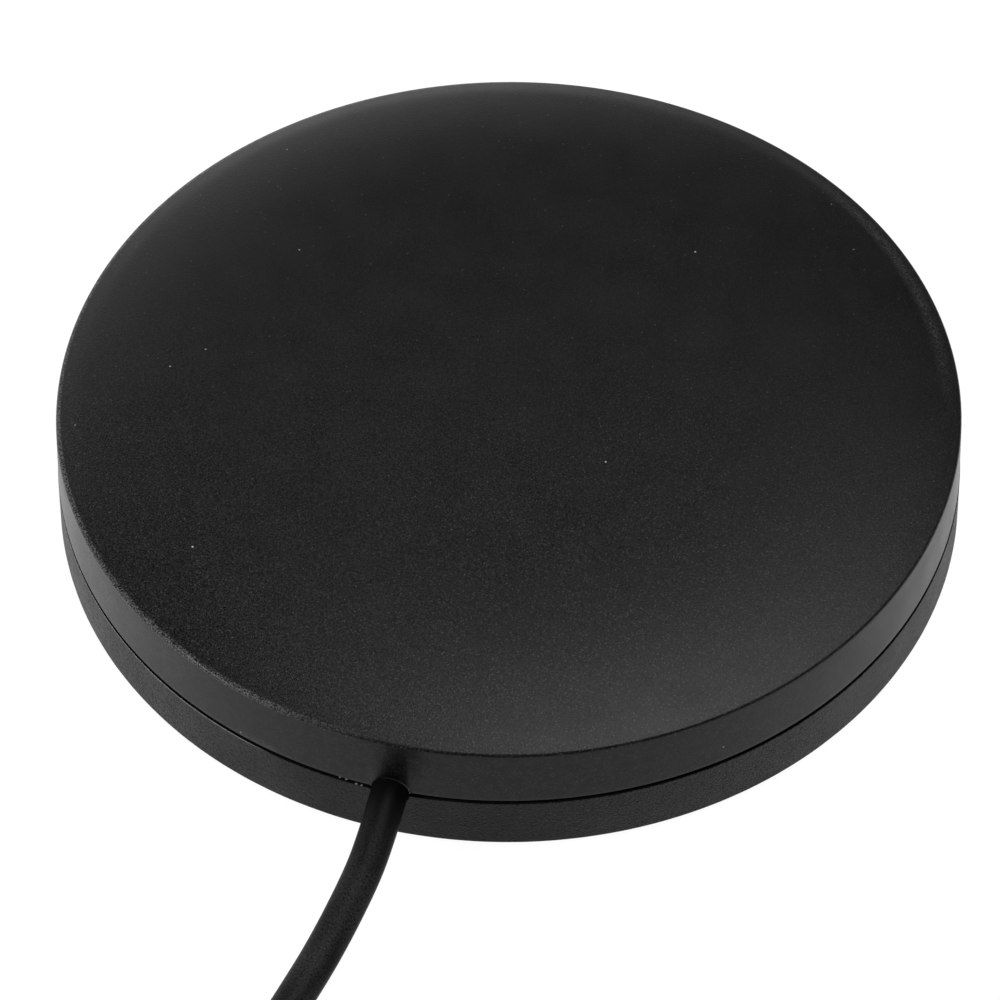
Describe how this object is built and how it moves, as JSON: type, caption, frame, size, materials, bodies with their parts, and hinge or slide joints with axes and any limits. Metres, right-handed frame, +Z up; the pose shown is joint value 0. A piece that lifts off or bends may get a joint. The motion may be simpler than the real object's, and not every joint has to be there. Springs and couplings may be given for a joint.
{
  "type": "cellular antenna",
  "caption": "Low round cellular antenna: crowned plastic housing with an adhesive base, a thin coaxial lead and a screw-on plug.",
  "frame": {"origin": "middle of the surface that the antenna stands on, under the middle of the round housing", "axes": "+Z up through the housing's crown; the lead leaves the housing along -Y"},
  "size_m": [0.0824, 0.1654, 0.0124],
  "materials": {
    "cover_plastic": "fine matte moulding",
    "base_plastic": "coarse textured moulding",
    "pad_foam": "closed-cell foam",
    "liner_film": "waxed film",
    "screw_steel": "zinc-plated",
    "board_laminate": "solder-masked laminate",
    "radiator_metal": "tin-plated sheet",
    "chip_ceramic": "sintered ceramic",
    "solder": "bright tin alloy",
    "braid_copper": "bare copper",
    "white_insulation": "waxy white",
    "cable_jacket": "satin flexible vinyl",
    "tie_plastic": "satin nylon",
    "plated_brass": "gold-plated, turned",
    "gasket_rubber": "silicone",
    "sleeve_plastic": "shrunk tubing"
  },
  "bodies": {
    "antenna": {"top_cover": "cover_plastic", "base_plate": "base_plastic", "adhesive_pad": "pad_foam", "release_liner": "liner_film", "cover_screw_1": "screw_steel", "cover_screw_2": "screw_steel", "cover_screw_3": "screw_steel", "antenna_board": "board_laminate", "radiator_plate": "radiator_metal", "match_chip_1": "chip_ceramic", "match_chip_2": "chip_ceramic", "feed_solder": "solder", "ground_solder": "solder", "cable_braid": "braid_copper", "cable_dielectric": "white_insulation", "cable_core": "braid_copper", "cable_clamp": "base_plastic", "clamp_screw_1": "screw_steel", "clamp_screw_2": "screw_steel", "antenna_cable": "cable_jacket", "cable_coil": "cable_jacket", "cable_tail": "cable_jacket", "cable_tie": "tie_plastic", "connector_body": "plated_brass", "connector_insulator": "white_insulation", "centre_pin": "plated_brass", "snap_ring": "screw_steel", "gasket": "gasket_rubber", "crimp_ferrule": "plated_brass", "heat_shrink": "sleeve_plastic"},
    "nut": {"coupling_nut": "plated_brass"}
  },
  "joints": [
    {"name": "nut_spin", "type": "hinge", "parent": "antenna", "child": "nut", "pos_m": [0.02755, -0.12588, 0.00405], "axis": [0.9945, 0.1045, 0], "continuous": true}
  ]
}
